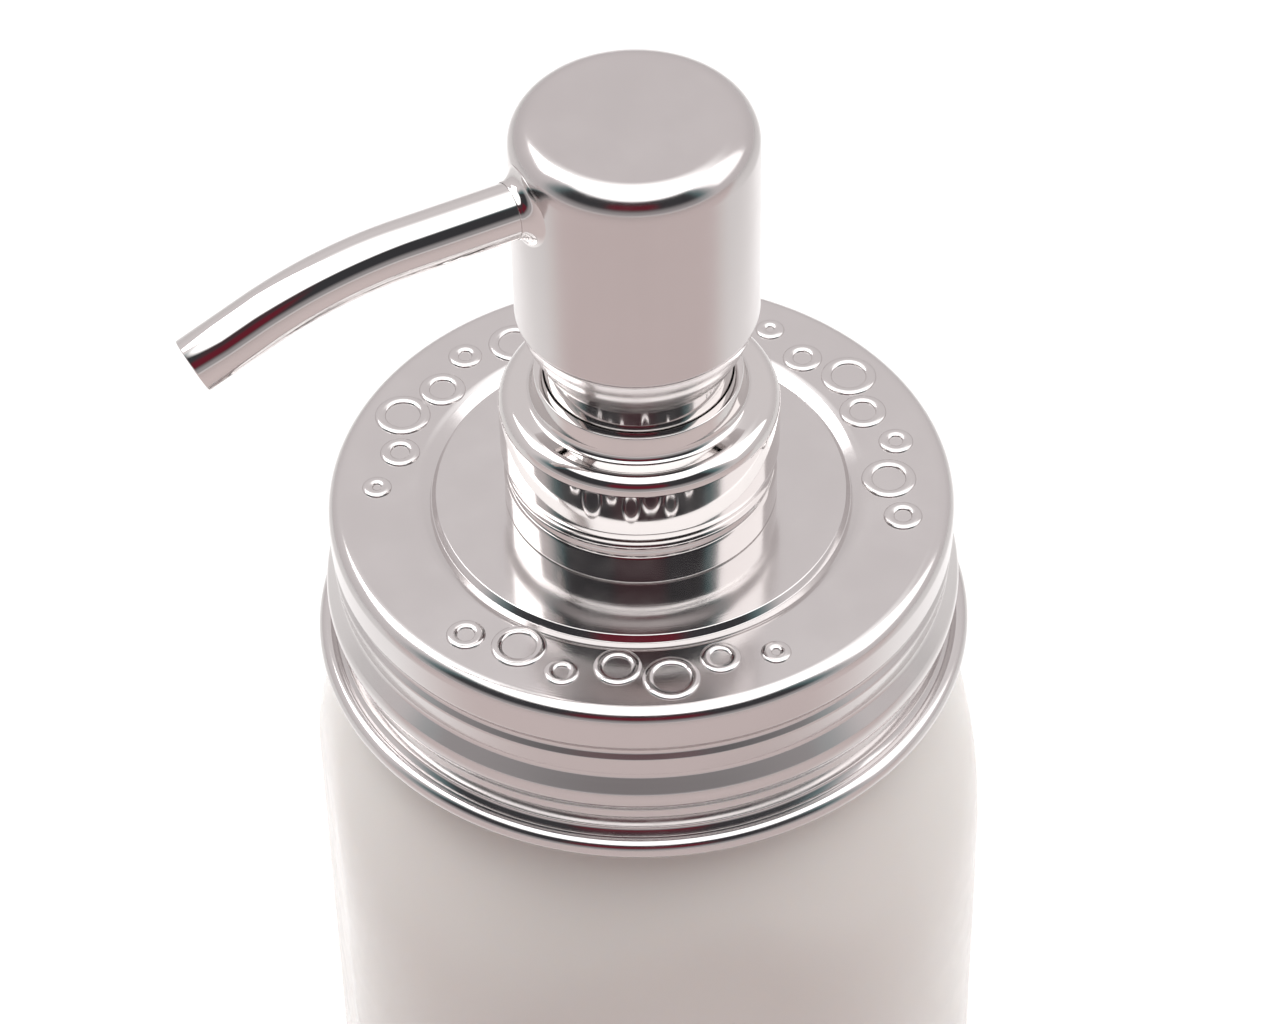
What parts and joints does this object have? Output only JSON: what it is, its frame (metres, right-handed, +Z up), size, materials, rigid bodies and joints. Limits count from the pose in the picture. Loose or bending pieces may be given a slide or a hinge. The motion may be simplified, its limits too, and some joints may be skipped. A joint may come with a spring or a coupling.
{
  "type": "soap pump dispenser",
  "caption": "Countertop soap pump dispenser: glass jar with a pressed steel screw lid, stepped collar and a bent-spout push pump.",
  "frame": {"origin": "centre of the jar's base, on the pump's axis", "axes": "+Z up along the pump's axis, -Y along the spout at rest, +X to the right seen from the spout's side"},
  "size_m": [0.0802, 0.0926, 0.1834],
  "materials": {
    "jar_glass": "smooth milk-white glass",
    "lid_steel": "pressed stainless steel, polished with fine lathe lines",
    "polished_steel": "mirror-polished stainless steel",
    "satin_steel": "satin stainless steel",
    "spring_steel": "drawn stainless wire",
    "ball_steel": "ground steel ball",
    "pump_plastic": "natural moulded polypropylene",
    "cap_plastic": "grey moulded polypropylene",
    "piston_plastic": "soft polyethylene",
    "tube_plastic": "extruded polyethylene tube",
    "seal_silicone": "white silicone",
    "seal_rubber": "black nitrile"
  },
  "bodies": {
    "jar_body": {"jar": "jar_glass"},
    "seal_body": {"lid_gasket": "seal_silicone"},
    "lid_body": {"lid": "lid_steel", "neck_bush": "pump_plastic", "neck_gasket": "seal_silicone", "neck_nut": "pump_plastic", "collar_shell": "polished_steel", "guide_sleeve": "polished_steel", "closure_cap": "cap_plastic", "housing_gasket": "seal_silicone", "pump_housing": "pump_plastic", "stem_guide": "pump_plastic", "stem_seal": "seal_rubber", "return_spring": "spring_steel", "ball_cage": "pump_plastic", "dip_tube": "tube_plastic"},
    "piston_body": {"piston": "piston_plastic"},
    "head_body": {"stem": "pump_plastic", "piston_rod": "pump_plastic", "head_shell": "satin_steel", "head_skirt": "satin_steel", "head_core": "cap_plastic", "spout_tube": "polished_steel", "spout_ferrule": "polished_steel", "spout_liner": "tube_plastic"},
    "inlet_ball_body": {"inlet_ball": "ball_steel"},
    "outlet_ball_body": {"outlet_ball": "ball_steel"}
  },
  "joints": [
    {"name": "lid_rise", "type": "slide", "parent": "jar_body", "child": "seal_body", "axis": [0, 0, 1], "range_m": [0, 0.00714]},
    {"name": "lid_turn", "type": "hinge", "parent": "seal_body", "child": "lid_body", "pos_m": [0, 0, 0.1], "axis": [0, 0, 1], "range_deg": [0, 405]},
    {"name": "head_slide", "type": "slide", "parent": "lid_body", "child": "piston_body", "axis": [0, 0, 1], "range_m": [0, 0.01], "deforming": ["return_spring"]},
    {"name": "head_swivel", "type": "hinge", "parent": "piston_body", "child": "head_body", "pos_m": [0, 0, 0.15], "axis": [0, 0, 1], "continuous": true},
    {"name": "inlet_ball_lift", "type": "slide", "parent": "lid_body", "child": "inlet_ball_body", "axis": [0, 0, 1], "range_m": [0, 0.0017]},
    {"name": "outlet_ball_lift", "type": "slide", "parent": "head_body", "child": "outlet_ball_body", "axis": [0, 0, 1], "range_m": [0, 0.0017]}
  ],
  "couplings": [
    {"joint": "lid_turn", "follows": "lid_rise", "rad_per_m": 989.48}
  ]
}
